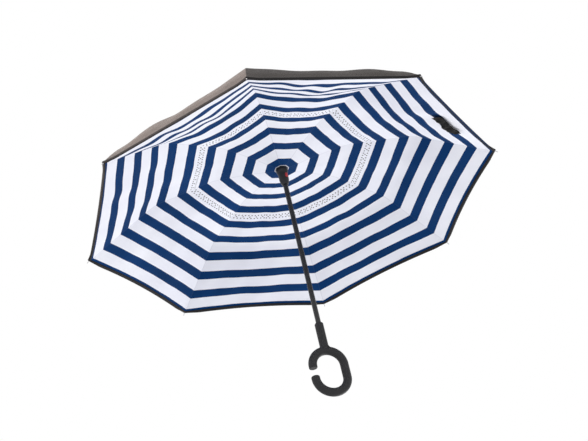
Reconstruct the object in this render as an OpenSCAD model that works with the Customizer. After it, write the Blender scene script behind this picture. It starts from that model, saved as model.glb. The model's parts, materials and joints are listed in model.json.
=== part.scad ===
// Inverted stick umbrella, stored open: eight folding ribs between a striped lining and a plain
// outer cover, a sliding runner with a latch button, and an open loop handle.
// +Z runs up the shaft from the handle to the top, +X lies in the plane of the handle's loop, and
// the origin is the lowest point of the handle, on the shaft's axis.

/* [Shaft and handle] */
// Outer diameter of the shaft tube
shaft_d = 12.5; // [12:0.1:13]
// Wall thickness of the shaft tube
shaft_wall = 0.8; // [0.6:0.1:1.2]
// Diameter of the handle loop's round section
hook_d = 20.5; // [18:0.5:21]
// Radius of the loop's two round ends, along the middle of its section
hook_bend_r = 38.2; // [34:0.2:44]
// Length of the loop's straight side
hook_side = 33.3; // [28:0.1:45]
// Height of the mouth between the loop's two arms
mouth_gap = 21.5; // [14:0.5:26]
// Diameter of the handle's stem
stem_d = 21; // [20:0.2:22]
// Height of the stem's top above the bottom of the loop
stem_top = 194.4; // [180:0.2:200]

/* [Frame] */
// Radius of the circle of rib pivots, on the runner and on the top notch
pivot_r = 12; // [12:0.5:13]
// Length between the pivots of each inner arm
arm_len = 225; // [215:1:228]
// Slope of the inner arms when the umbrella is open
arm_tilt = 7; // [6:0.5:8]
// Height of the runner's rib pivots when the umbrella is open
runner_pivot_z = 664.5; // [660:0.5:680]
// Diameter of the outer rib's rod
rod_d = 3; // [2.5:0.1:3.2]
// Slope of the outer rib near its pivot, downwards
rod_root_slope = 6; // [5:0.5:7]
// Slope of the outer rib near its tip, downwards
rod_tip_slope = 44; // [43:0.5:45]

/* [Canopy] */
// Radius from the shaft's axis to the canopy's corners
rim_r = 530; // [525:1:535]
// Height of the lining's corners above the bottom of the loop
rim_z = 539; // [536:0.5:541]
// Thickness of each cloth
cloth_t = 0.6; // [0.4:0.1:0.8]
// Length of the tip pins beyond the rods
tip_len = 15; // [10:1:18]

/* [Runner] */
// Outer diameter of the runner's body
runner_d = 25; // [25:0.5:27]
// Length of the runner below its rib pivots
runner_drop = 57; // [55:1:60]
// Travel of the latch button
button_travel = 2; // [1.5:0.1:2.2]

/* [Hidden] */
$fn = 48;
ribs = 8;
rib_step = 360 / ribs;
half_step = rib_step / 2;
shaft_r = shaft_d / 2;
bore_gap = 0.08;
fit_gap = 0.03;
// Handle loop: centres of the two round ends
low_z = hook_d / 2 + hook_bend_r;
high_z = low_z + hook_side;
arm_run = (hook_side - mouth_gap) / 2;
socket_z = high_z + hook_bend_r + hook_d / 2 + 8;
cross_pin_z = socket_z + 24; // the pin that holds the handle on the shaft
cross_pin_r = 1.2;
shaft_top = runner_pivot_z + 2 * arm_len * sin(arm_tilt) + 14;
// The arms fold by this much, which brings the runner down by closed_drop
arm_fold = 79;
closed_drop = 2 * arm_len * (sin(arm_tilt + arm_fold) - sin(arm_tilt));
// Rib pivots, as [radius, height] in the plane of one rib
notch_z = runner_pivot_z + 2 * arm_len * sin(arm_tilt);
arm_end = [pivot_r + arm_len * cos(arm_tilt), runner_pivot_z + arm_len * sin(arm_tilt)];
rod_pin = [1, -14.6]; // from the arm's end pivot, along and across the lower arm
rod_start = arm_end + turned(rod_pin, arm_tilt);
rod_end = [rim_r - 3, rim_z + 5.2];
// The rod is two straight runs joined by an arc
rod_bend_r = 380;
rod_turn = rod_tip_slope - rod_root_slope;
bend_run = rod_bend_r * tan(rod_turn / 2);
root_dir = turned([1, 0], -rod_root_slope);
tip_dir = turned([1, 0], -rod_tip_slope);
rod_corner = crossing(rod_start, root_dir, rod_end, tip_dir);
rod_bend_start = rod_corner - bend_run * root_dir;
rod_bend_end = rod_corner + bend_run * tip_dir;
bend_centre = rod_bend_start + rod_bend_r * turned(root_dir, -90);
socket_run = 22;
// Pins, eyes and blades of the inner arms
wire_r = 0.75;
wire_eye_r = 0.84;
pin_r = 1;
pin_eye_r = 1.06;
blade_t = 2;
slot_w = 2.6;
arm_h = 4.5;
channel_w = 5;
lug_run = 21;
cheek_run = 6.5;
// Runner and latch
latch_z = runner_pivot_z - 34;
latch_t = 2.4;
latch_notch = [2.4, 3.4, 3.2]; // into, across and along the shaft
latch_turn = -rib_step - half_step; // the button faces along the seventh rib
crown_r = 15.5;
crown_top = 4.5;
button_size = [6.4, 13]; // across and along the shaft
button_in = shaft_r + 4.2;
button_out = runner_d / 2 + 2;
slide_r = shaft_r + 2.4; // outside of the latch slide
slide_hole_r = shaft_r + 0.7;
slide_room = 0.4; // between the slide and its pocket
spring_len = 2.9;
spring_seat = shaft_r + 5.3; // from the shaft's axis to the spring's far end
// Cloth profiles, as [radius at a rib, height], from the centre out to the rim
lining_hole = crown_r + 0.6; // clear of the runner's crown
lining_path = [[lining_hole / cos(half_step), rim_z + 118], [45, rim_z + 121.6], [80, rim_z + 129.2],
    [172, rim_z + 138.6], [190, rim_z + 138], [338, rim_z + 113], [352, rim_z + 107.5], [rim_r, rim_z]];
cover_rise = 3.6; // from the rod's middle to the cover's underside
cover_facet = 6; // turn between the flats of the cover over the rod's bend
cover_edge = 1.4; // height of the cover's rim above the rod's end
cover_path = concat([[15, notch_z + 5.2], [229, notch_z - 21], [243, notch_z - 24.5]],
    [for (a = [rod_root_slope + cover_facet:cover_facet:rod_tip_slope])
        bend_centre + (rod_bend_r + cover_rise) * [sin(a), cos(a)]],
    [[rim_r, rod_end[1] + cover_edge]]);
seam_gap = 0.5;
strap_size = [113, 28, 2.4]; // along the rim, across the gore, thick
strap_place = [435, -8]; // its corner, outwards from the shaft's axis and across from the gore's middle

// Geometry helpers

function turned(p, a) = [p[0] * cos(a) - p[1] * sin(a), p[0] * sin(a) + p[1] * cos(a)];
function cross2(a, b) = a[0] * b[1] - a[1] * b[0];
// Where the line through p along u meets the line through q along v
function crossing(p, u, q, v) = p + cross2(q - p, v) / cross2(u, v) * u;

// Places the children at rib i; they are drawn with X outwards and Y up
module at_rib(i) {
    rotate([0, 0, half_step + rib_step * (i - 1)])
        rotate([90, 0, 0])
            children();
}

module ring(r, section_r) {
    rotate_extrude($fn = 96)
        translate([r, 0])
            circle(r = section_r, $fn = 24);
}

// A flat bar with round ends from p to q, where pins pass through it
module link(p, q, r, t) {
    d = q - p;
    half_w = 0.96 * r;
    linear_extrude(height = t, center = true) {
        translate(p)
            circle(r = r);
        translate(q)
            circle(r = r);
        translate(p)
            rotate(atan2(d[1], d[0]))
                translate([0, -half_w])
                    square([norm(d), 2 * half_w]);
    }
}

module eye(p, r) {
    translate(p)
        cylinder(h = 40, r = r, center = true);
}

// A rivet with a thin head outside each cheek
module rivet(p, half_w) {
    translate(p) {
        cylinder(h = 2 * half_w + 1, r = pin_r, center = true);
        for (side = [-1, 1])
            translate([0, 0, side * (half_w + 0.25 + fit_gap)])
                cylinder(h = 0.5, r = 1.8, center = true);
    }
}

// Shaft and handle

module shaft_tube() {
    color("#1c1c1e")
        difference() {
            translate([0, 0, socket_z])
                cylinder(h = shaft_top - socket_z, r = shaft_r);
            translate([0, 0, socket_z - 1])
                cylinder(h = shaft_top - socket_z + 2, r = shaft_r - shaft_wall);
            // Latch notches for the open and the closed canopy
            for (z = [latch_z, latch_z - closed_drop])
                rotate([0, 0, latch_turn])
                    translate([-shaft_r, 0, z])
                        cube(latch_notch, center = true);
            translate([0, 0, cross_pin_z])
                rotate([0, 90, 0])
                    cylinder(h = 40, r = cross_pin_r + 0.05, center = true);
        }
}

// One arm of the loop beside its mouth, with a rounded end
module loop_arm(run) {
    r = hook_d / 2;
    edge = 2.5;
    rotate_extrude() {
        square([r, run - edge]);
        square([r - edge, run]);
        translate([r - edge, run - edge])
            intersection() {
                circle(r = edge);
                square(edge);
            }
    }
}

module loop_end(z) {
    translate([0, 0, z])
        rotate([90, 0, 0])
            rotate_extrude(angle = 180, $fn = 96)
                translate([hook_bend_r, 0])
                    circle(d = hook_d);
}

module handle() {
    r = stem_d / 2;
    flare_h = 9;
    color("#3a3a3c")
        difference() {
            union() {
                loop_end(high_z);
                rotate([0, 180, 0])
                    loop_end(-low_z);
                translate([hook_bend_r, 0, low_z])
                    cylinder(h = hook_side, d = hook_d);
                translate([-hook_bend_r, 0, low_z])
                    loop_arm(arm_run);
                translate([-hook_bend_r, 0, high_z])
                    mirror([0, 0, 1])
                        loop_arm(arm_run);
                translate([0, 0, high_z + hook_bend_r])
                    cylinder(h = stem_top - high_z - hook_bend_r - 2, r = r);
                // The stem flares into the loop, in the loop's plane only
                translate([0, 0, high_z + hook_bend_r + 4])
                    intersection() {
                        cylinder(h = flare_h, r1 = r + 4, r2 = r);
                        cube([stem_d + 10, hook_d - 1, 3 * flare_h], center = true);
                    }
                translate([0, 0, stem_top - 2])
                    cylinder(h = 2, r1 = r, r2 = r - 1.6);
            }
            translate([0, 0, socket_z])
                cylinder(h = stem_top, r = shaft_r + fit_gap);
            translate([0, 0, cross_pin_z])
                rotate([0, 90, 0])
                    cylinder(h = 40, r = cross_pin_r + 0.05, center = true);
        }
}

module handle_pin() {
    color("#8c8c8e")
        translate([0, 0, cross_pin_z])
            rotate([0, 90, 0])
                cylinder(h = stem_d - 1.4, r = cross_pin_r, center = true);
}

// Top of the shaft

// The slots and the wire groove that hold eight arm blades on a flange
module blade_seats(low, high) {
    for (i = [1:ribs])
        at_rib(i)
            translate([pivot_r - 2.5, low, -slot_w / 2])
                cube([20, high - low, slot_w]);
    rotate_extrude()
        translate([pivot_r - 0.85, -0.85])
            square([20, 1.7]);
}

module top_notch() {
    color("#232325")
        translate([0, 0, notch_z])
            difference() {
                union() {
                    translate([0, 0, -11])
                        cylinder(h = 16, r = 8.6);
                    translate([0, 0, -3])
                        cylinder(h = 6, r = crown_r);
                }
                cylinder(h = 60, r = shaft_r + fit_gap, center = true);
                blade_seats(-10, 10);
            }
}

module notch_wire() {
    color("#a8a8aa")
        translate([0, 0, notch_z])
            ring(pivot_r, wire_r);
}

module ferrule_cap() {
    base_z = notch_z + 6.6;
    brim_r = 20;
    brim_t = 2;
    cone_h = 7;
    cone_top_r = 7.5;
    nub_r = 5;
    nub_h = 12;
    bevel = 1;
    nub_z = base_z + brim_t + cone_h;
    color("#232325")
        difference() {
            union() {
                translate([0, 0, base_z])
                    cylinder(h = brim_t, r = brim_r);
                translate([0, 0, base_z + brim_t])
                    cylinder(h = cone_h, r1 = brim_r, r2 = cone_top_r);
                translate([0, 0, nub_z])
                    cylinder(h = nub_h, r = nub_r);
                translate([0, 0, nub_z + nub_h])
                    cylinder(h = bevel, r1 = nub_r, r2 = nub_r - bevel);
            }
            translate([0, 0, base_z - 1])
                cylinder(h = shaft_top - base_z + 1.2, r = shaft_r + fit_gap);
        }
}

// Runner and latch

// The outline of the button, which is also the shape of its hole in the runner
module button_outline(grow) {
    r = button_size[0] / 2 + grow;
    half_run = (button_size[1] - button_size[0]) / 2;
    for (side = [-1, 1])
        translate([side * half_run, 0])
            circle(r = r);
    translate([-half_run, -r])
        square([2 * half_run, 2 * r]);
}

// The outline of the latch slide, from x = a to x = b between the centres of its ends
module slide_outline(a, b, r) {
    for (x = [a, b])
        translate([x, 0])
            circle(r = r);
    translate([a, -r])
        square([b - a, 2 * r]);
}

module runner() {
    r = runner_d / 2;
    low = -runner_drop;
    pocket_t = latch_t + 0.6;
    color("#232325")
        difference() {
            translate([0, 0, runner_pivot_z])
                rotate_extrude()
                    polygon([[0, low], [shaft_r + 2, low], [r - 1.9, low + 6], [r, low + 15], [r, low + 33],
                        [crown_r, low + 42], [crown_r, crown_top], [0, crown_top]]);
            cylinder(h = 2000, r = shaft_r + bore_gap);
            translate([0, 0, runner_pivot_z])
                blade_seats(-2.9, 10);
            // Pocket for the latch slide, its button and its spring
            translate([0, 0, latch_z])
                rotate([0, 0, latch_turn]) {
                    translate([0, 0, -pocket_t / 2])
                        linear_extrude(height = pocket_t)
                            slide_outline(-button_travel - 0.1, 1.3, slide_r + slide_room);
                    translate([shaft_r + 2, 0, 0])
                        rotate([0, 90, 0])
                            linear_extrude(height = 20)
                                button_outline(0.2);
                    translate([spring_len - spring_seat - 0.3, 0, 0])
                        rotate([0, -90, 0])
                            cylinder(h = spring_len, r = 1.2);
                }
        }
}

module runner_wire() {
    color("#a8a8aa")
        translate([0, 0, runner_pivot_z])
            ring(pivot_r, wire_r);
}

// The latch slide surrounds the shaft; its red end is the button, and its tooth faces the notch
module release_button() {
    color("#c8202c")
        translate([0, 0, latch_z])
            rotate([0, 0, latch_turn]) {
                difference() {
                    translate([0, 0, -latch_t / 2])
                        linear_extrude(height = latch_t)
                            slide_outline(0, 1.2, slide_r);
                    linear_extrude(height = 10, center = true)
                        difference() {
                            slide_outline(0, button_travel, slide_hole_r);
                            // The tooth stands just off the shaft
                            translate([-slide_r, -1.5])
                                square([slide_r - shaft_r - 0.35, 3]);
                        }
                }
                translate([button_in, 0, 0])
                    rotate([0, 90, 0])
                        linear_extrude(height = button_out - button_in)
                            button_outline(0);
                translate([button_in - 1, -2.5, -latch_t / 2])
                    cube([1.5, 5, latch_t]);
            }
}

// A small coil behind the latch slide
module button_spring() {
    turns = 3;
    sides = 6;
    steps = 12 * turns;
    coil_r = 0.9;
    section_r = 0.18;
    run = spring_len - 0.7;
    points = [for (k = [0:steps], s = [0:sides - 1])
        let (a = 360 * turns * k / steps, b = 360 * s / sides, r = coil_r + section_r * cos(b))
        [run * k / steps + section_r * sin(b), r * cos(a), r * sin(a)]];
    walls = [for (k = [0:steps - 1], s = [0:sides - 1])
        let (a = k * sides, n = (s + 1) % sides)
        [a + s, a + n, a + sides + n, a + sides + s]];
    ends = [[for (s = [0:sides - 1]) sides - 1 - s],
        [for (s = [0:sides - 1]) steps * sides + s]];
    color("#b0b0b2")
        translate([0, 0, latch_z])
            rotate([0, 0, latch_turn])
                translate([-spring_seat, 0, 0])
                    mirror([0, 1, 0])
                        polyhedron(points, concat(walls, ends), convexity = 8);
}

// Inner arms

module upper_arm(i) {
    tail = [arm_len, 0];
    color("#8a8c90")
        at_rib(i)
            translate([pivot_r, notch_z, 0])
                rotate(-arm_tilt)
                    difference() {
                        union() {
                            link([0, 0], [8, 0], 2.2, blade_t);
                            translate([5, -arm_h / 2, -1.5])
                                cube([arm_len - lug_run - 5, arm_h, 3]);
                            link([arm_len - lug_run - 4, 0], tail, 2.1, blade_t);
                            translate(tail)
                                cylinder(h = blade_t, r = 3, center = true);
                        }
                        // The bar is a channel, open towards the cover
                        translate([12, -1, -0.8])
                            cube([arm_len - lug_run - 22, arm_h, 1.6]);
                        eye([0, 0], wire_eye_r);
                        eye(tail, pin_eye_r);
                    }
}

module lower_arm(i) {
    tail = [arm_len, 0];
    cheek_w = channel_w + 0.4;
    bar_start = 6.6; // clear of the runner's crown as the arm swings
    bar_end = 35;
    bar_w = 3;
    color("#8a8c90")
        at_rib(i)
            translate([pivot_r, runner_pivot_z, 0])
                rotate(arm_tilt) {
                    difference() {
                        union() {
                            link([0, 0], [8, 0], 2.2, blade_t);
                            translate([bar_start, -arm_h / 2, -bar_w / 2])
                                cube([bar_end - bar_start, arm_h, bar_w]);
                            translate([30, -arm_h / 2, -channel_w / 2])
                                cube([arm_len - 31, arm_h, channel_w]);
                            link(tail, tail + rod_pin, 3.2, cheek_w);
                        }
                        // The bar is a channel, open upwards, and has no floor beside the pin
                        linear_extrude(height = slot_w, center = true) {
                            translate([40, -1.05])
                                square([arm_len, 20]);
                            translate([arm_len - cheek_run, -25])
                                square([40, 45]);
                        }
                        eye([0, 0], wire_eye_r);
                        eye(tail, pin_r + fit_gap);
                        eye(tail + rod_pin, pin_r + fit_gap);
                    }
                    rivet(tail, cheek_w / 2);
                    rivet(tail + rod_pin, cheek_w / 2);
                }
}

// Outer ribs

module rod_run(p, q, r) {
    d = q - p;
    translate(p)
        rotate([0, 90, atan2(d[1], d[0])])
            cylinder(h = norm(d), r = r);
}

module outer_rib(i) {
    lug = rod_start + 7 * root_dir;
    socket_end = rod_start + socket_run * root_dir;
    lap = 0.4; // the straight runs end inside the arc
    color("#26262a")
        at_rib(i) {
            difference() {
                union() {
                    link(rod_start, lug, 2.6, blade_t);
                    rod_run(rod_start + 5 * root_dir, socket_end, 2.3);
                }
                eye(rod_start, pin_eye_r);
            }
            rod_run(socket_end - root_dir, rod_bend_start + lap * root_dir, rod_d / 2);
            translate(bend_centre)
                rotate(90 - rod_tip_slope)
                    rotate_extrude(angle = rod_turn, $fn = 360)
                        translate([rod_bend_r, 0])
                            circle(r = rod_d / 2 + fit_gap, $fn = 24);
            rod_run(rod_bend_end - lap * tip_dir, rod_end, rod_d / 2);
        }
}

module rib_tip(i) {
    color("#c9c9cc")
        at_rib(i)
            translate(rod_end)
                rotate([0, 90, -rod_tip_slope]) {
                    translate([0, 0, 0.05])
                        cylinder(h = tip_len - 1, r = 1.1);
                    translate([0, 0, tip_len - 1])
                        sphere(r = 1.1, $fn = 24);
                }
}

// Cloth: each gore is a flat-sided panel between two ribs, as thick as the cloth

module gore(i, path) {
    flat = cos(half_step);
    under = [for (p = path) [p[0] * flat, p[1]]];
    over = [for (k = [len(path) - 1:-1:0]) [path[k][0] * flat, path[k][1] + cloth_t]];
    reach = 2 * rim_r;
    rotate([0, 0, rib_step * i])
        intersection() {
            rotate([90, 0, 0])
                linear_extrude(height = reach, center = true)
                    polygon(concat(under, over));
            linear_extrude(height = 2 * rim_z)
                polygon([[seam_gap / sin(half_step), 0],
                    [reach, (reach - seam_gap / sin(half_step)) * tan(half_step)],
                    [reach, -(reach - seam_gap / sin(half_step)) * tan(half_step)]]);
        }
}

module lining(i) {
    color("#e9e7f0")
        gore(i, lining_path);
}

module cover(i) {
    color("#3b3a3c")
        gore(i, cover_path);
}

// The tie strap lies against the lining, sewn on near the middle of the seventh gore's rim
module tie_strap() {
    flat = cos(half_step);
    p = lining_path[6];
    q = lining_path[7];
    slope = atan2(p[1] - q[1], (q[0] - p[0]) * flat);
    z = q[1] + (q[0] * flat - strap_place[0]) * tan(slope) - 1.2;
    color("#262628")
        rotate([0, 0, rib_step * 7])
            translate([strap_place[0], strap_place[1], z])
                rotate([0, slope, 0])
                    translate([0, 0, -strap_size[2]])
                        cube([strap_size[1], strap_size[0], strap_size[2]]);
}

shaft_tube();
top_notch();
notch_wire();
ferrule_cap();
handle();
handle_pin();
runner();
runner_wire();
release_button();
button_spring();
tie_strap();
upper_arm(1);  // upper_arm_1
upper_arm(2);  // upper_arm_2
upper_arm(3);  // upper_arm_3
upper_arm(4);  // upper_arm_4
upper_arm(5);  // upper_arm_5
upper_arm(6);  // upper_arm_6
upper_arm(7);  // upper_arm_7
upper_arm(8);  // upper_arm_8
lower_arm(1);  // lower_arm_1
lower_arm(2);  // lower_arm_2
lower_arm(3);  // lower_arm_3
lower_arm(4);  // lower_arm_4
lower_arm(5);  // lower_arm_5
lower_arm(6);  // lower_arm_6
lower_arm(7);  // lower_arm_7
lower_arm(8);  // lower_arm_8
outer_rib(1);  // outer_rib_1
outer_rib(2);  // outer_rib_2
outer_rib(3);  // outer_rib_3
outer_rib(4);  // outer_rib_4
outer_rib(5);  // outer_rib_5
outer_rib(6);  // outer_rib_6
outer_rib(7);  // outer_rib_7
outer_rib(8);  // outer_rib_8
rib_tip(1);  // rib_tip_1
rib_tip(2);  // rib_tip_2
rib_tip(3);  // rib_tip_3
rib_tip(4);  // rib_tip_4
rib_tip(5);  // rib_tip_5
rib_tip(6);  // rib_tip_6
rib_tip(7);  // rib_tip_7
rib_tip(8);  // rib_tip_8
lining(1);  // lining_1
lining(2);  // lining_2
lining(3);  // lining_3
lining(4);  // lining_4
lining(5);  // lining_5
lining(6);  // lining_6
lining(7);  // lining_7
lining(8);  // lining_8
cover(1);  // cover_1
cover(2);  // cover_2
cover(3);  // cover_3
cover(4);  // cover_4
cover(5);  // cover_5
cover(6);  // cover_6
cover(7);  // cover_7
cover(8);  // cover_8
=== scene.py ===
import json
import math
from collections import namedtuple

import bmesh
import bpy
import numpy as np
from mathutils import Matrix, Vector


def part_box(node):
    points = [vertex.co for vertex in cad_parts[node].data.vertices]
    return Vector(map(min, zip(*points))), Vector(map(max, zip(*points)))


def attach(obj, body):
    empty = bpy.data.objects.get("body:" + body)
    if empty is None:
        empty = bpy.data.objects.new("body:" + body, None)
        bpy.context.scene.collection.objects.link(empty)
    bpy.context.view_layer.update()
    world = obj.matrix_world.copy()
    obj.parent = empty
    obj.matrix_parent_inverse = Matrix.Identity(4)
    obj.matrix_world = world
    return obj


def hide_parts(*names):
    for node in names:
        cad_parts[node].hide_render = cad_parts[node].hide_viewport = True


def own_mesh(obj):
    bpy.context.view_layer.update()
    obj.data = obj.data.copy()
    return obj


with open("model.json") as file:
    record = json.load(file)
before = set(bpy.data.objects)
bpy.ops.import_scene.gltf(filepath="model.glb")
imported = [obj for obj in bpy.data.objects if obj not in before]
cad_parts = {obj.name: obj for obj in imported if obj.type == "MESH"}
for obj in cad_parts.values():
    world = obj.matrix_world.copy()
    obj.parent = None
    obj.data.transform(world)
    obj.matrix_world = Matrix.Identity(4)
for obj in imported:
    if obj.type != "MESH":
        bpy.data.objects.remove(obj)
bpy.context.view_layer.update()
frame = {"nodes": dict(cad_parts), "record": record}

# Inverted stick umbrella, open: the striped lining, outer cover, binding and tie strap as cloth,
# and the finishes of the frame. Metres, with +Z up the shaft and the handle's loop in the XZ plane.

# ---- Places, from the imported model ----

RIBS = 8
RIB_STEP = math.tau / RIBS
HALF_STEP = RIB_STEP / 2
JOINTS = {j["name"]: j for j in frame["record"]["behaviour"]["joints"]}
NOTCH_Z = JOINTS["umbrella_fold"]["pos_m"][2]
KNEE = JOINTS["lower_arm_1_knee"]["pos_m"]
KNEE_R = math.hypot(KNEE[0], KNEE[1])
RIM_LOW, RIM_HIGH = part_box("lining_8")
RIM_R = RIM_HIGH.x / math.cos(HALF_STEP)
RIM_Z = RIM_LOW.z

# ---- Cloth sizes ----

HEM_SIDES = 12  # points round the binding's section
HEM_STEPS = 25  # places along half a gore
HEM_ROUND = 0.6  # below 1 squares the binding's section off
STITCH_WIDTH = 0.0045  # of the lapped cloth at a seam, on each side of the rib
SEAM_WIDTH = 0.0011
THREAD_PITCH = 0.0009

CROWN_R = 0.0174  # the lining's hole, round the runner's crown
# Lining at a rib, as (radius, height above the rim's corners), from the crown to the rim
LINING_PATH = [
    (CROWN_R, 0.1180),
    (0.045, 0.1216),
    (0.080, 0.1292),
    (0.172, 0.1386),
    (0.190, 0.1380),
    (0.338, 0.1130),
    (0.352, 0.1075),
    (RIM_R, 0.0),
]
# The cover runs straight down from the notch, then over the bend of the rods
COVER_START = [(0.015, NOTCH_Z + 0.0052 - RIM_Z), (0.229, NOTCH_Z - 0.0210 - RIM_Z)]
COVER_BEND_CENTRE = (0.23748, 0.29552 - RIM_Z)
COVER_BEND_R = 0.3836
COVER_BEND_ANGLES = (10, 16, 22, 28, 34, 40, 44)
COVER_EDGE = 0.0066  # height of the cover's edge above the lining's
PATH_STEP = 0.002
SMOOTH_RUN = 0.024

# Stripes are parallel to the rim, measured along the rib from the shaft's axis, in rim radii
STRIPE_START = 0.036
STRIPE_PITCH = 0.112
STRIPE_SHARE = 0.433
VENT_FROM = 0.4323 * RIM_R
VENT_TO = 0.4687 * RIM_R
VENT_ROWS = 7
VENT_PITCH = 8  # columns from one cross of holes to the next
HALF_COLUMNS = 40
HOLE_STRETCH = 0.3  # of a cell: the rows and columns with holes are wider than those between
COVER_COLUMNS = 20
ROW_LENGTH = 0.0075

SAG = 0.011
SAG_SHARE = {3: 0.7, 4: 0.6, 5: 1.3, 6: 1.5, 7: 1.3}  # some gores hang slacker than the rest
RIB_LIFT = 0.004
HIGH_RIB = 6
HIGH_RIB_LIFT = 0.0165
# Slack pockets of the cover, as (place across the gore, depth)
POCKETS = {5: (0.24, 0.009), 6: (0.80, 0.008), 7: (0.5, 0.0)}
PLAIN_POCKET = (0.5, 0.004)
RIM_SCALLOP = 0.006
RIM_PULL = 0.004  # how much further in the loosely bound gores' edges lie
# The binding's width, and how far it reaches in over the cloth
HEM = (0.0065, 0.0025)
LOOSE_HEM = (0.0082, 0.0008)
HEMS = {7: (0.0042, 0.0042), 4: (0.0050, 0.0025), **dict.fromkeys((8, 1, 2, 3), LOOSE_HEM)}
HEM_ROOM = 0.0016  # the binding's thickness beyond the two cloths it joins
EDGE_DROP = 0.0054  # between the ribs the cover's edge comes down to the lining's

Layer = namedtuple("Layer", "s r z shape")


# ---- Small helpers ----

def compass(angle):
    """Unit vector outwards at that angle round the shaft."""
    return np.array([math.cos(angle), math.sin(angle), 0.0])


def rib_angle(i):
    return HALF_STEP + RIB_STEP * (i - 1)


def even_steps(points, step):
    """The same path, with a point every step along it."""
    p = np.array(points, float)
    run = np.concatenate([[0], np.cumsum(np.hypot(*np.diff(p, axis=0).T))])
    at = np.linspace(0, run[-1], int(run[-1] / step) + 1)
    return np.column_stack([np.interp(at, run, p[:, 0]), np.interp(at, run, p[:, 1])])


def rounded(path, step, window):
    """The path with its corners eased by a moving average; its ends stay where they are."""
    half = int(window / step / 2)
    before = 2 * path[0] - path[half:0:-1]
    after = 2 * path[-1] - path[-2:-half - 2:-1]
    padded = np.vstack([before, path, after])
    kernel = np.ones(2 * half + 1) / (2 * half + 1)
    eased = [np.convolve(padded[:, k], kernel, mode="valid") for k in range(2)]
    return np.column_stack(eased)


def make_layer(points, shape):
    path = rounded(even_steps(points, PATH_STEP), PATH_STEP, SMOOTH_RUN)
    run = np.concatenate([[0], np.cumsum(np.hypot(*np.diff(path, axis=0).T))])
    return Layer(run + path[0, 0], path[:, 0], path[:, 1] + RIM_Z, shape)


def bump(x, centre, width):
    return np.exp(-((x - centre) / width) ** 2)


def span(w):
    """0 at both ribs and 1 midway between them."""
    return 4 * w * (1 - w)


# ---- How each cloth leaves the straight lines between the ribs, along its upward normal ----

def lining_shape(gore, share, w):
    """Slack lining hangs down between the ribs, with soft waves that differ from gore to gore."""
    hang = -SAG * SAG_SHARE.get(gore, 1.0) * np.sin(math.pi * np.clip(share, 0, 1) ** 1.6) * span(w)
    phase = 1.7 * gore
    waves = np.sin(13 * w + 9 * share + phase) + 0.6 * np.sin(23 * w - 15 * share + 2.3 * phase)
    pucker = np.sin(70 * share + phase) * (bump(w, 0.04, 0.05) + bump(w, 0.96, 0.05))
    ripple = (SAG_SHARE.get(gore, 1.0) - 0.8) * np.sin(31 * w + 2 * phase) * bump(share, 0.85, 0.09)
    folds = (0.0021 * share * waves + 0.0022 * ripple) * span(w) + 0.0006 * pucker * np.sin(math.pi * w)
    return hang + folds * np.clip((1 - share) / 0.08, 0, 1) * np.clip(share / 0.15, 0, 1)


def cover_shape(gore, share, w):
    """The cover is longer than the rods' straight line, so it stands off them above the rim."""
    roll = bump(share, 0.84, 0.12)
    first = HIGH_RIB_LIFT if gore == HIGH_RIB else RIB_LIFT
    last = HIGH_RIB_LIFT if gore + 1 == HIGH_RIB else RIB_LIFT
    place, depth = POCKETS.get(gore, PLAIN_POCKET)
    stand_off = first * (1 - w) ** 2 + last * w ** 2 + depth * bump(w, place, 0.17) * np.sqrt(span(w))
    waves = 0.0012 * np.sin(17 * w + 1.9 * gore + 8 * share) * span(w)
    ends = np.clip((1 - share) / 0.05, 0, 1) * np.clip(share / 0.1, 0, 1)
    drop = EDGE_DROP * np.minimum(1, 4 * span(w)) * np.clip(share, 0, 1) ** 16
    return ends * (roll * stand_off + 0.002 * span(w) * share + waves) - drop


def cloth_point(layer, gore, s, w):
    """Places on a gore: s along the ribs from the shaft's axis, w from 0 at one rib to 1 at the next."""
    share = (s - layer.s[0]) / (layer.s[-1] - layer.s[0])
    scallop = RIM_SCALLOP + (RIM_PULL if HEMS.get(gore) == LOOSE_HEM else 0)
    pulled = s - scallop * span(w) * np.clip(share, 0, 1) ** 4
    r = np.interp(pulled, layer.s, layer.r)
    z = np.interp(pulled, layer.s, layer.z)
    dr = np.interp(pulled, layer.s, np.gradient(layer.r, layer.s)) * math.cos(HALF_STEP)
    dz = np.interp(pulled, layer.s, np.gradient(layer.z, layer.s))
    slant = np.hypot(dr, dz)
    start, end = compass(rib_angle(gore)), compass(rib_angle(gore + 1))
    flat = r[..., None] * ((1 - w)[..., None] * start + w[..., None] * end)
    flat[..., 2] = z
    turn = rib_angle(gore) + RIB_STEP * w
    outwards = -dz / slant
    normal = np.stack([outwards * np.cos(turn), outwards * np.sin(turn), dr / slant], axis=-1)
    return flat + normal * layer.shape(gore, share, w)[..., None], normal


# ---- Meshes ----

def new_object(name, vertices, faces, uvs=None):
    mesh = bpy.data.meshes.new(name)
    mesh.from_pydata([tuple(v) for v in vertices], [], faces)
    if uvs is not None:
        layer = mesh.uv_layers.new(name="cloth")
        corner = np.empty(len(mesh.loops), dtype=np.int32)
        mesh.loops.foreach_get("vertex_index", corner)
        layer.data.foreach_set("uv", np.array(uvs, np.float32)[corner].ravel())
    mesh.shade_smooth()
    obj = bpy.data.objects.new(name, mesh)
    bpy.context.collection.objects.link(obj)
    return obj


def grid_faces(rows, columns, first=0, skip=None, flip=False):
    faces = []
    for a in range(rows - 1):
        for b in range(columns - 1):
            if skip is not None and skip(a, b):
                continue
            k = first + a * columns + b
            face = (k, k + 1, k + columns + 1, k + columns)
            faces.append(face[::-1] if flip else face)
    return faces


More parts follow.
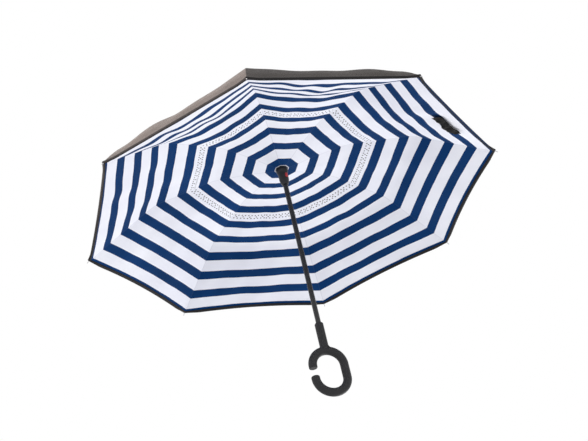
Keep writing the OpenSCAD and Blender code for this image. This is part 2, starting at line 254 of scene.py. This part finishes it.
def lining_rows(layer):
    """Row places along the ribs, closer together across the vented stripe."""
    inner = np.linspace(layer.s[0], VENT_FROM, round((VENT_FROM - layer.s[0]) / ROW_LENGTH) + 1)
    vents = np.arange(VENT_ROWS + 1, dtype=float)
    vents[1:VENT_ROWS] += HOLE_STRETCH / 2 * (-1.0) ** np.arange(1, VENT_ROWS)
    vents = VENT_FROM + (VENT_TO - VENT_FROM) * vents / VENT_ROWS
    outer = np.linspace(VENT_TO, layer.s[-1], round((layer.s[-1] - VENT_TO) / ROW_LENGTH) + 1)
    return np.concatenate([inner, vents[1:], outer[1:]]), len(inner) - 1


def is_vent(row, column):
    """Small holes on every other row, set in crosses of five."""
    if row == VENT_ROWS // 2:
        return column % VENT_PITCH == VENT_PITCH // 2
    return row in (1, VENT_ROWS - 2) and column % (VENT_PITCH // 2) == 2


def vent_columns():
    """Places across half a gore, from its rib to its middle."""
    places = np.arange(HALF_COLUMNS + 1, dtype=float)
    places[1:HALF_COLUMNS:2] += HOLE_STRETCH
    return places / HALF_COLUMNS


def sector_mesh(layer, rib, rows, columns, skip):
    """The cloth of one rib: half of the gore on each side of it, creased along the rib."""
    points, faces, uvs = [], [], []
    s, t = np.meshgrid(rows, columns, indexing="ij")
    for side in (1, -1):
        gore = rib if side == 1 else rib - 1
        w = t / 2 if side == 1 else 1 - t / 2
        place, _ = cloth_point(layer, (gore - 1) % RIBS + 1, s, w)
        across = side * t * np.interp(s, layer.s, layer.r) * math.sin(HALF_STEP)
        faces += grid_faces(len(rows), len(columns), len(points), skip, side == -1)
        points += list(place.reshape(-1, 3))
        uvs += list(np.column_stack([across.ravel(), (s / RIM_R).ravel()]))
    return points, faces, uvs


def keep_side(obj, place, direction):
    """Cuts the mesh along a plane and keeps the side that the direction points to."""
    mesh = bmesh.new()
    mesh.from_mesh(obj.data)
    every = mesh.verts[:] + mesh.edges[:] + mesh.faces[:]
    bmesh.ops.bisect_plane(
        mesh, geom=every, plane_co=place, plane_no=direction, clear_inner=True, dist=1e-6
    )
    mesh.to_mesh(obj.data)
    mesh.free()


def settle(obj, body):
    """The piece moves with a body, and gets a mesh of its own."""
    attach(obj, body)
    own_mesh(obj)


def cloth_pair(name, rib, mesh_parts, inner_body, material):
    """The inner and outer part of one rib's cloth, cut along the hinge's own line."""
    outwards = compass(rib_angle(rib))
    made = []
    for zone, direction in (("inner", -outwards), ("outer", outwards)):
        obj = new_object(f"{name}_{zone}_{rib}", *mesh_parts)
        keep_side(obj, outwards * KNEE_R, direction)
        obj.data.materials.append(material)
        settle(obj, inner_body if zone == "inner" else f"outer_rib_{rib}")
        made.append(obj)
    return made


# ---- Binding and strap ----

def hem_sizes(gore, w):
    """The tape's width and its reach over the cloth, which are the same at every rib."""
    away = np.minimum(1, 3 * span(w))
    return [usual + (here - usual) * away for usual, here in zip(HEM, HEMS.get(gore, HEM))]


def squared_off(x):
    return math.copysign(abs(x) ** HEM_ROUND, x)


def make_hem(lining, cover, rib, material):
    """The folded tape that joins the lining's edge to the cover's, over one rib's share of the rim."""
    around = np.linspace(0, math.tau, HEM_SIDES, endpoint=False)
    t = np.linspace(0, 1, HEM_STEPS)
    points, faces, uvs = [], [], []
    for side in (1, -1):
        gore = ((rib if side == 1 else rib - 1) - 1) % RIBS + 1
        w = t / 2 if side == 1 else 1 - t / 2
        low, _ = cloth_point(lining, gore, np.full_like(t, lining.s[-1]), w)
        high, normal = cloth_point(cover, gore, np.full_like(t, cover.s[-1]), w)
        middle = (low + high) / 2
        along = np.gradient(middle, axis=0)
        along /= np.linalg.norm(along, axis=1)[:, None]
        out = np.cross(along, normal) * side
        rise_to = (np.linalg.norm(high - low, axis=1) + HEM_ROOM) / 2
        widths, covers = hem_sizes(gore, w)
        first = len(points)
        for k, place in enumerate(middle):
            for angle in around:
                reach = squared_off(math.cos(angle)) * widths[k] / 2
                rise = squared_off(math.sin(angle)) * rise_to[k]
                outer = reach + widths[k] / 2 - covers[k]
                points.append(place + out[k] * outer + normal[k] * rise)
                uvs.append((side * t[k] * RIM_R * math.sin(HALF_STEP), angle * HEM[0] / math.pi))
        for k in range(HEM_STEPS - 1):
            for j in range(HEM_SIDES):
                a = first + k * HEM_SIDES + j
                b = first + k * HEM_SIDES + (j + 1) % HEM_SIDES
                face = (a, b, b + HEM_SIDES, a + HEM_SIDES)
                faces.append(face if side == 1 else face[::-1])
    obj = new_object(f"hem_{rib}", points, faces, uvs)
    obj.data.materials.append(material)
    settle(obj, f"outer_rib_{rib}")
    return obj


def make_strap(lining, material):
    """The tie strap, bunched up against the lining of the seventh gore."""
    gore, rib = 7, 8
    length, width = 0.113, 0.028
    run, lean = 0.092, 0.018  # bunched up, it reaches this far along the rim and outwards
    middle_x = 0.449
    start = -0.0095
    u = np.linspace(0, 1, 61)
    v = np.linspace(0, 1, 13)
    u, v = np.meshgrid(u, v, indexing="ij")
    drift = 0.003 * np.sin(5.2 * u + 0.6) + 0.0008 * np.sin(17 * u)
    narrow = 0.86 - 0.10 * bump(u, 0.42, 0.14) - 0.35 * bump(u, 0, 0.08)
    x = middle_x + drift + lean * (u - 0.5) + (v - 0.5) * width * narrow
    along = start + run * u + 0.0015 * np.sin(5 * v)
    r = x / math.cos(HALF_STEP)
    w = 0.5 + along / (2 * r * math.sin(HALF_STEP))
    s = np.interp(r, lining.r, lining.s)
    place, normal = cloth_point(lining, gore, s, w)
    crumple = 0.0008 * np.sin(24 * u + 3 * v) + 0.0007 * np.sin(9 * v + 11 * u) + 0.0003 * np.sin(47 * u)
    place = place - normal * (0.0055 + crumple)[..., None]
    uvs = np.column_stack([(length * u).ravel(), (width * v).ravel()])
    obj = new_object("tie_strap_cloth", place.reshape(-1, 3), grid_faces(*u.shape), uvs)
    obj.data.materials.append(material)
    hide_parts("tie_strap")
    settle(obj, f"outer_rib_{rib}")


# ---- Materials ----

def material(name):
    made = bpy.data.materials.new(name)
    made.use_nodes = True
    return made, made.node_tree, made.node_tree.nodes["Principled BSDF"]


def math_node(tree, operation, a, b):
    made = tree.nodes.new("ShaderNodeMath")
    made.operation = operation
    for socket, value in zip(made.inputs, (a, b)):
        if isinstance(value, (int, float)):
            socket.default_value = value
        else:
            tree.links.new(value, socket)
    return made.outputs[0]


def noise(tree, vector, scale, detail=3.0):
    made = tree.nodes.new("ShaderNodeTexNoise")
    made.inputs["Scale"].default_value = scale
    made.inputs["Detail"].default_value = detail
    tree.links.new(vector, made.inputs["Vector"])
    return made.outputs["Fac"]


def ramp(tree, value, low, high, start=0.3, end=0.7):
    made = tree.nodes.new("ShaderNodeValToRGB")
    made.color_ramp.elements[0].position = start
    made.color_ramp.elements[0].color = (*low, 1)
    made.color_ramp.elements[1].position = end
    made.color_ramp.elements[1].color = (*high, 1)
    tree.links.new(value, made.inputs["Fac"])
    return made.outputs["Color"]


def mix_colour(tree, share, a, b):
    made = tree.nodes.new("ShaderNodeMix")
    made.data_type = "RGBA"
    tree.links.new(share, made.inputs["Factor"])
    tree.links.new(a, made.inputs["A"])
    tree.links.new(b, made.inputs["B"])
    return made.outputs["Result"]


def add_bump(tree, shader, height, strength, distance):
    made = tree.nodes.new("ShaderNodeBump")
    made.inputs["Strength"].default_value = strength
    made.inputs["Distance"].default_value = distance
    tree.links.new(height, made.inputs["Height"])
    tree.links.new(made.outputs["Normal"], shader.inputs["Normal"])


def weave(tree, across, along, pitch):
    """Crossed threads, as a height from 0 to 1."""
    turns = math.tau / pitch
    warp = math_node(tree, "SINE", math_node(tree, "MULTIPLY", across, turns), 0)
    weft = math_node(tree, "SINE", math_node(tree, "MULTIPLY", along, turns), 0)
    return math_node(tree, "MULTIPLY_ADD", math_node(tree, "MULTIPLY", warp, weft), 0.5)


def cloth_axes(tree):
    uv = tree.nodes.new("ShaderNodeUVMap")
    uv.uv_map = "cloth"
    parts = tree.nodes.new("ShaderNodeSeparateXYZ")
    tree.links.new(uv.outputs["UV"], parts.inputs["Vector"])
    place = tree.nodes.new("ShaderNodeTexCoord").outputs["Object"]
    return parts.outputs["X"], parts.outputs["Y"], place


def lining_material():
    made, tree, shader = material("striped_lining")
    across, along, place = cloth_axes(tree)
    wander = math_node(tree, "MULTIPLY", noise(tree, place, 22), 0.004)
    shifted = math_node(tree, "ADD", math_node(tree, "SUBTRACT", along, STRIPE_START + 0.002), wander)
    turn = math_node(tree, "FRACT", math_node(tree, "DIVIDE", shifted, STRIPE_PITCH), 0)
    inside = math_node(tree, "GREATER_THAN", along, STRIPE_START)
    stripe = math_node(tree, "MULTIPLY", math_node(tree, "LESS_THAN", turn, STRIPE_SHARE), inside)
    tone = noise(tree, place, 6, 4)
    white = ramp(tree, tone, (0.77, 0.78, 0.87), (0.85, 0.86, 0.93))
    blue = ramp(tree, tone, (0.0010, 0.027, 0.105), (0.0018, 0.036, 0.145))
    colour = mix_colour(tree, stripe, white, blue)
    # A thin darker line along each rib: the seam's stitching, and painted shade of the crease at the rib.
    from_seam = math_node(tree, "ABSOLUTE", across, 0)
    seam = math_node(tree, "LESS_THAN", from_seam, SEAM_WIDTH)
    stitch_and_crease_shade = ramp(tree, tone, (0.06, 0.09, 0.18), (0.09, 0.12, 0.22))
    stitch_and_shade_share = math_node(tree, "MULTIPLY", seam, 0.14)
    tree.links.new(mix_colour(tree, stitch_and_shade_share, colour, stitch_and_crease_shade), shader.inputs["Base Color"])
    shader.inputs["Roughness"].default_value = 0.72
    shader.inputs["Specular IOR Level"].default_value = 0.06
    threads = weave(tree, across, math_node(tree, "MULTIPLY", along, RIM_R), THREAD_PITCH)
    creases = math_node(tree, "MULTIPLY", noise(tree, place, 34, 5), 2.2)
    stitched = math_node(tree, "MULTIPLY", math_node(tree, "LESS_THAN", from_seam, STITCH_WIDTH), 0.6)
    height = math_node(tree, "ADD", math_node(tree, "ADD", threads, creases), stitched)
    add_bump(tree, shader, height, 0.35, 0.0008)
    return made


def dark_cloth(name, low, high, sheen, pitch):
    made, tree, shader = material(name)
    across, along, place = cloth_axes(tree)
    tone = noise(tree, place, 9, 5)
    tree.links.new(ramp(tree, tone, low, high), shader.inputs["Base Color"])
    shader.inputs["Roughness"].default_value = 0.68
    shader.inputs["Specular IOR Level"].default_value = 0.1
    shader.inputs["Sheen Weight"].default_value = sheen
    shader.inputs["Sheen Roughness"].default_value = 0.45
    threads = weave(tree, across, math_node(tree, "MULTIPLY", along, RIM_R), pitch)
    creases = math_node(tree, "MULTIPLY", noise(tree, place, 30, 5), 2.0)
    from_seam = math_node(tree, "ABSOLUTE", across, 0)
    lapped = math_node(tree, "MULTIPLY", math_node(tree, "LESS_THAN", from_seam, STITCH_WIDTH), 0.8)
    height = math_node(tree, "ADD", math_node(tree, "ADD", threads, creases), lapped)
    add_bump(tree, shader, height, 0.4, 0.0008)
    return made


def moulded(name, low, high, roughness, grain, metallic=0.0, specular=0.5):
    """Plastic, enamel or metal with a fine grain and a little change of tone."""
    made, tree, shader = material(name)
    place = tree.nodes.new("ShaderNodeTexCoord").outputs["Object"]
    tree.links.new(ramp(tree, noise(tree, place, 18, 4), low, high), shader.inputs["Base Color"])
    shader.inputs["Metallic"].default_value = metallic
    worn = math_node(tree, "MULTIPLY", noise(tree, place, 45, 4), 0.12)
    tree.links.new(math_node(tree, "ADD", worn, roughness), shader.inputs["Roughness"])
    shader.inputs["Specular IOR Level"].default_value = specular
    add_bump(tree, shader, noise(tree, place, grain, 2), 0.05, 0.0003)
    return made


def finish_nodes(finish, *names):
    """Gives that material to the CAD nodes whose names start so."""
    for name, obj in frame["nodes"].items():
        if name.startswith(names):
            if not obj.material_slots:
                obj.data.materials.append(finish)
            for place in obj.material_slots:
                place.link = "OBJECT"
                place.material = finish


def finish_frame():
    enamel = moulded("gloss_black_enamel", (0.006, 0.006, 0.007), (0.012, 0.012, 0.013), 0.16, 700)
    grip = moulded("soft_touch_grip", (0.022, 0.022, 0.024), (0.029, 0.029, 0.031), 0.50, 2600, 0.0, 0.22)
    plastic = moulded("black_plastic", (0.008, 0.008, 0.009), (0.014, 0.014, 0.015), 0.32, 1500)
    steel = moulded("plain_steel", (0.42, 0.42, 0.44), (0.56, 0.56, 0.58), 0.28, 900, 1.0)
    rod = moulded("black_fibreglass", (0.010, 0.010, 0.011), (0.018, 0.018, 0.019), 0.28, 1200)
    tip = moulded("pale_tip", (0.52, 0.52, 0.54), (0.62, 0.62, 0.64), 0.35, 1200)
    button = moulded("red_button", (0.46, 0.012, 0.016), (0.58, 0.018, 0.022), 0.28, 1200)
    finish_nodes(enamel, "shaft_tube")
    finish_nodes(grip, "handle")
    finish_nodes(plastic, "runner", "top_notch", "ferrule_cap")
    finish_nodes(steel, "handle_pin", "notch_wire", "runner_wire", "button_spring")
    finish_nodes(enamel, "upper_arm", "lower_arm")
    finish_nodes(rod, "outer_rib")
    finish_nodes(tip, "rib_tip")
    finish_nodes(button, "release_button")


# ---- Studio ----

# The camera's place, its heading in degrees from +X, its rise above level, and its roll
CAMERA_PLACE = (-0.9216, -2.6076, -1.2993)
CAMERA_HEADING = 70.5321
CAMERA_RISE = 32.9849
CAMERA_ROLL = -13.4958
FLOOR_Z = -4.5
FLOOR_HALF = 40


def add_light(name, place, target, size, power, colour=(1, 1, 1), spread=180):
    data = bpy.data.lights.new(name, "AREA")
    data.shape = "DISK"
    data.size = size
    data.energy = power
    data.color = colour
    data.spread = math.radians(spread)
    obj = bpy.data.objects.new(name, data)
    bpy.context.collection.objects.link(obj)
    obj.location = place
    aim = Vector(target) - Vector(place)
    obj.rotation_euler = aim.to_track_quat("-Z", "Y").to_euler()
    obj.visible_camera = False


def make_floor():
    low, high = -FLOOR_HALF, FLOOR_HALF
    corners = [(low, low, FLOOR_Z), (high, low, FLOOR_Z), (high, high, FLOOR_Z), (low, high, FLOOR_Z)]
    floor = new_object("floor", corners, [(0, 1, 2, 3)])
    finish, tree, shader = material("pale_floor")
    place = tree.nodes.new("ShaderNodeTexCoord").outputs["Object"]
    tone = ramp(tree, noise(tree, place, 14), (0.90, 0.90, 0.90), (0.92, 0.92, 0.92))
    tree.links.new(tone, shader.inputs["Base Color"])
    shader.inputs["Roughness"].default_value = 0.9
    floor.data.materials.append(finish)


def make_studio():
    make_floor()
    world = bpy.data.worlds.new("studio")
    world.use_nodes = True
    world.node_tree.nodes["Background"].inputs["Color"].default_value = (1, 1, 1, 1)
    world.node_tree.nodes["Background"].inputs["Strength"].default_value = 1.0
    bpy.context.scene.world = world
    bpy.context.scene.view_settings.view_transform = "Standard"
    canopy_middle = (0, 0, 0.5)
    add_light("key", (1.8, 1.9, -0.9), canopy_middle, 2.0, 48)
    rolled_side = (-0.34, -0.34, 0.64)
    add_light("left", (-3.4, 0.5, 0.95), rolled_side, 0.5, 4, (1.0, 0.88, 0.82), 14)


def make_camera():
    """Looks up into the canopy from below the handle, with the picture turned a little."""
    data = bpy.data.cameras.new("camera")
    data.lens = 80.5
    data.sensor_width = 36
    camera = bpy.data.objects.new("camera", data)
    bpy.context.collection.objects.link(camera)
    heading = Matrix.Rotation(math.radians(CAMERA_HEADING - 90), 4, "Z")
    rise = Matrix.Rotation(math.radians(90 + CAMERA_RISE), 4, "X")
    roll = Matrix.Rotation(math.radians(CAMERA_ROLL), 4, "Z")
    camera.matrix_world = Matrix.Translation(CAMERA_PLACE) @ heading @ rise @ roll
    bpy.context.scene.camera = camera


# ---- The umbrella's cloth ----

def cover_path():
    bend = [
        (
            COVER_BEND_CENTRE[0] + COVER_BEND_R * math.sin(math.radians(a)),
            COVER_BEND_CENTRE[1] + COVER_BEND_R * math.cos(math.radians(a)),
        )
        for a in COVER_BEND_ANGLES
    ]
    return COVER_START + bend + [(RIM_R, COVER_EDGE)]


def make_canopy():
    lining = make_layer(LINING_PATH, lining_shape)
    cover = make_layer(cover_path(), cover_shape)
    stripes = lining_material()
    charcoal = dark_cloth("cover_cloth", (0.054, 0.046, 0.043), (0.070, 0.060, 0.056), 0.12, 0.0009)
    binding = dark_cloth("binding_tape", (0.020, 0.019, 0.020), (0.030, 0.028, 0.029), 0.02, 0.0014)
    tape = dark_cloth("strap_tape", (0.004, 0.004, 0.005), (0.008, 0.008, 0.010), 0.0, 0.0014)
    rows, vent_row = lining_rows(lining)
    cover_rows = np.linspace(cover.s[0], cover.s[-1], round(cover.s[-1] / ROW_LENGTH))
    for rib in range(1, RIBS + 1):
        before = (rib - 2) % RIBS + 1
        parts = sector_mesh(
            lining, rib, rows, vent_columns(), lambda a, b: is_vent(a - vent_row, b)
        )
        under = cloth_pair("lining", rib, parts, f"lower_arm_{rib}", stripes)
        parts = sector_mesh(cover, rib, cover_rows, np.linspace(0, 1, COVER_COLUMNS + 1), None)
        over = cloth_pair("cover", rib, parts, f"upper_arm_{rib}", charcoal)
        hem = make_hem(lining, cover, rib, binding)
        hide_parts(f"lining_{rib}", f"lining_{before}")
        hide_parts(f"cover_{rib}", f"cover_{before}")
    make_strap(lining, tape)


make_camera()
make_studio()
finish_frame()
make_canopy()
